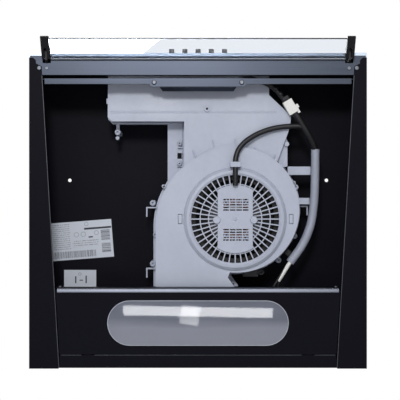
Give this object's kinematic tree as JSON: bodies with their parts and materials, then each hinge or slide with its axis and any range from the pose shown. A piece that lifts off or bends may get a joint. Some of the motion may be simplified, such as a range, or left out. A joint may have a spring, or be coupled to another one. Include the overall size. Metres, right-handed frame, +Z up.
{
  "type": "under-cabinet cooker hood",
  "caption": "Slim under-cabinet cooker hood with a tilting glass visor, push buttons, rear lamp, centrifugal fan unit and top outlet; grease filter removed.",
  "frame": {"origin": "midway between the two cabinet screw holes, on the roof sheet's outer face", "axes": "+Z up, out of the cabinet screw holes; -Y towards the front fascia and the cook; +X to the right seen from below with the front at the top"},
  "size_m": [0.5, 0.489, 0.1818],
  "materials": {
    "black_paint": "satin powder coat",
    "brushed_metal": "fine horizontal brushing",
    "grey_metal": "satin anodised",
    "zinc_steel": "bright zinc",
    "housing_grey": "fine moulded texture",
    "black_plastic": "moulded",
    "button_grey": "satin",
    "clear_glass": "polished, green edge",
    "lens_plastic": "translucent",
    "white_plastic": "moulded",
    "bulb_glass": "frosted",
    "white_enamel": "white enamel",
    "copper_wire": "enamelled copper",
    "lamination_steel": "stacked sheet",
    "lead_rubber": "PVC sheath",
    "conduit_grey": "extruded",
    "label_paper": "printed film"
  },
  "bodies": {
    "hood": {"batch_label": "label_paper", "box_base": "housing_grey", "cable_clip": "housing_grey", "conduit_brackets": "housing_grey", "conduit_strap": "black_plastic", "conduit_tube": "conduit_grey", "connector_plug": "black_plastic", "connector_socket": "white_plastic", "cord_grommet": "lead_rubber", "fan_base": "housing_grey", "fan_cover": "housing_grey", "filter_rail": "grey_metal", "flap_pins": "zinc_steel", "front_beam": "grey_metal", "front_fascia": "brushed_metal", "front_panel": "black_paint", "front_screws": "zinc_steel", "hinge_bracket_left": "black_plastic", "hinge_bracket_right": "black_plastic", "housing_rivets": "housing_grey", "inlet_grille": "housing_grey", "lamp_bulb": "bulb_glass", "lamp_lead": "lead_rubber", "lamp_lens": "lens_plastic", "lamp_panel": "black_paint", "lamp_reflector": "white_enamel", "lamp_screws": "zinc_steel", "lamp_socket": "white_plastic", "motor_bearings": "zinc_steel", "motor_cap": "housing_grey", "motor_frame": "zinc_steel", "motor_knobs": "housing_grey", "motor_lead": "lead_rubber", "motor_stator": "lamination_steel", "motor_windings": "copper_wire", "outlet_duct": "housing_grey", "outlet_spigot": "black_plastic", "rating_label": "label_paper", "rear_panel": "black_paint", "roof_panel": "black_paint", "side_panel_left": "black_paint", "side_panel_right": "black_paint", "switch_bracket": "grey_metal", "switch_lead": "lead_rubber", "switch_module": "black_plastic", "visor_pins": "zinc_steel", "wire_sleeve": "lead_rubber"},
    "impeller": {"impeller": "black_plastic", "motor_rotor": "lamination_steel", "motor_shaft": "zinc_steel"},
    "visor": {"visor_arm_left": "black_plastic", "visor_arm_right": "black_plastic", "visor_glass": "clear_glass"},
    "flap_front": {"flap_front": "housing_grey"},
    "flap_rear": {"flap_rear": "housing_grey"},
    "button_1": {"button_1": "button_grey"},
    "button_2": {"button_2": "button_grey"},
    "button_3": {"button_3": "button_grey"},
    "button_4": {"button_4": "button_grey"},
    "button_5": {"button_5": "button_grey"}
  },
  "joints": [
    {"name": "visor_tilt", "type": "hinge", "parent": "hood", "child": "visor", "pos_m": [0, -0.191, -0.1235], "axis": [-1, 0, 0], "range_deg": [0, 125]},
    {"name": "impeller_spin", "type": "hinge", "parent": "hood", "child": "impeller", "pos_m": [0.056, 0.06, -0.05], "axis": [0, 0, 1], "continuous": true},
    {"name": "flap_front_swing", "type": "hinge", "parent": "hood", "child": "flap_front", "pos_m": [0, 0.2148, 0.01], "axis": [-1, 0, 0], "range_deg": [0, 78]},
    {"name": "flap_rear_swing", "type": "hinge", "parent": "hood", "child": "flap_rear", "pos_m": [0, 0.2212, 0.01], "axis": [1, 0, 0], "range_deg": [0, 78]},
    {"name": "button_1_press", "type": "slide", "parent": "hood", "child": "button_1", "axis": [0, 1, 0], "range_m": [0, 0.003], "stiffness_N_per_m": 300},
    {"name": "button_2_press", "type": "slide", "parent": "hood", "child": "button_2", "axis": [0, 1, 0], "range_m": [0, 0.003], "stiffness_N_per_m": 300},
    {"name": "button_3_press", "type": "slide", "parent": "hood", "child": "button_3", "axis": [0, 1, 0], "range_m": [0, 0.003], "stiffness_N_per_m": 300},
    {"name": "button_4_press", "type": "slide", "parent": "hood", "child": "button_4", "axis": [0, 1, 0], "range_m": [0, 0.003], "stiffness_N_per_m": 300},
    {"name": "button_5_press", "type": "slide", "parent": "hood", "child": "button_5", "axis": [0, 1, 0], "range_m": [0, 0.003], "stiffness_N_per_m": 300}
  ]
}
